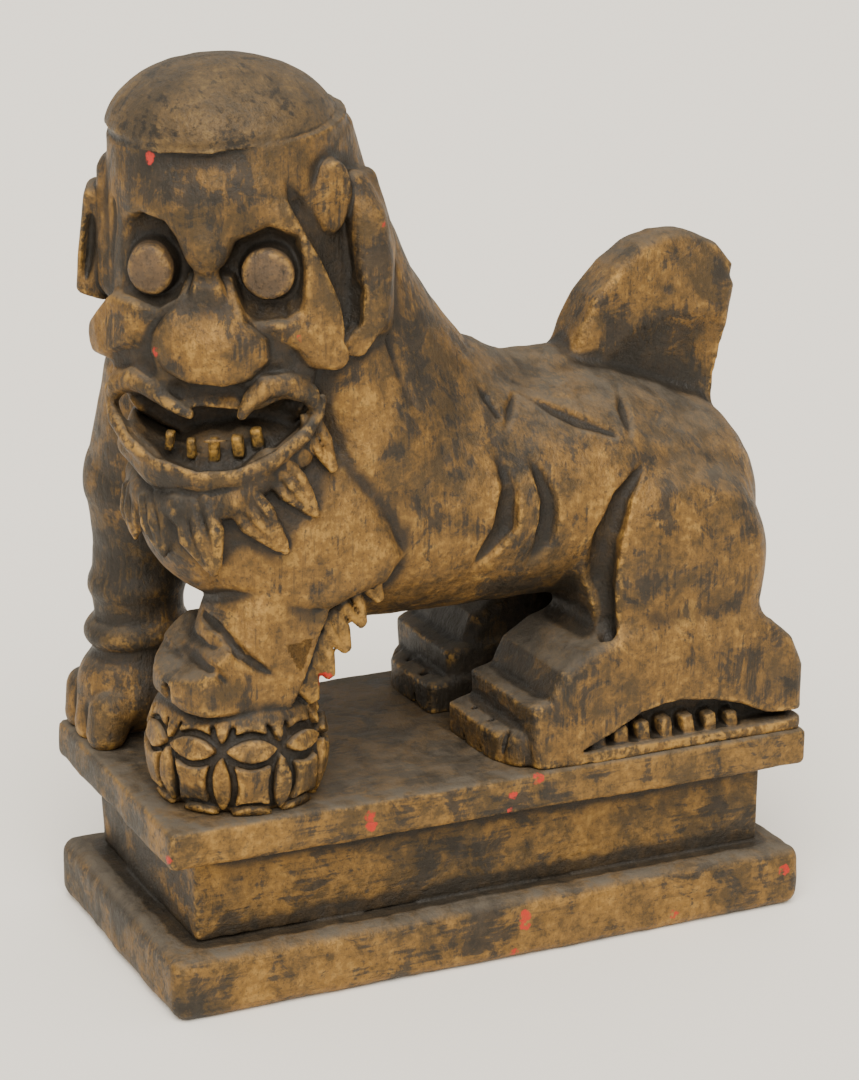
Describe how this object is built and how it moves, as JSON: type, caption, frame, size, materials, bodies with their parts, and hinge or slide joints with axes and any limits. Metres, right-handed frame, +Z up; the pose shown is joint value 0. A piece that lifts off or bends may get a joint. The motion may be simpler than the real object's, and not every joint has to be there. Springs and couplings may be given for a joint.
{
  "type": "foo dog statue",
  "caption": "Carved and gilded wooden guardian lion, head turned to its left, left forepaw on a brocade ball, on a rectangular waisted plinth.",
  "frame": {"origin": "centre of the plinth's underside", "axes": "+Z up; -Y the way the lion walks; +X the lion's left side, to which its head is turned"},
  "size_m": [0.064, 0.1319, 0.1662],
  "materials": {
    "body_gilt": "carved softwood, worn gilding over dark lacquer, dark and dusty in the cuts",
    "plinth_gilt": "worn gilding over dark lacquer, grain showing, grey dust on the upper faces",
    "crown_lacquer": "dark lacquer with thin traces of gilding",
    "fringe_gilt": "gilded tips on dark lacquer",
    "bright_gilt": "better kept gilding on teeth and eyes"
  },
  "bodies": {
    "root": {"plinth_foot": "plinth_gilt", "plinth_waist": "plinth_gilt", "plinth_top": "plinth_gilt", "left_heel_fringe": "fringe_gilt", "right_heel_fringe": "fringe_gilt", "trunk": "body_gilt", "left_haunch": "body_gilt", "right_haunch": "body_gilt", "left_hind_foot": "body_gilt", "right_hind_foot": "body_gilt", "left_shoulder": "body_gilt", "left_foreleg": "body_gilt", "left_forepaw": "body_gilt", "right_foreleg": "body_gilt", "right_forepaw": "body_gilt", "foreleg_fringe": "fringe_gilt", "brocade_ball": "body_gilt", "neck_mane": "body_gilt", "head": "body_gilt", "crown": "crown_lacquer", "left_ear": "body_gilt", "right_ear": "body_gilt", "left_eye": "bright_gilt", "right_eye": "bright_gilt", "nose": "body_gilt", "upper_lip": "body_gilt", "lower_jaw": "body_gilt", "teeth": "bright_gilt", "beard": "body_gilt", "tail": "body_gilt"}
  },
  "joints": []
}
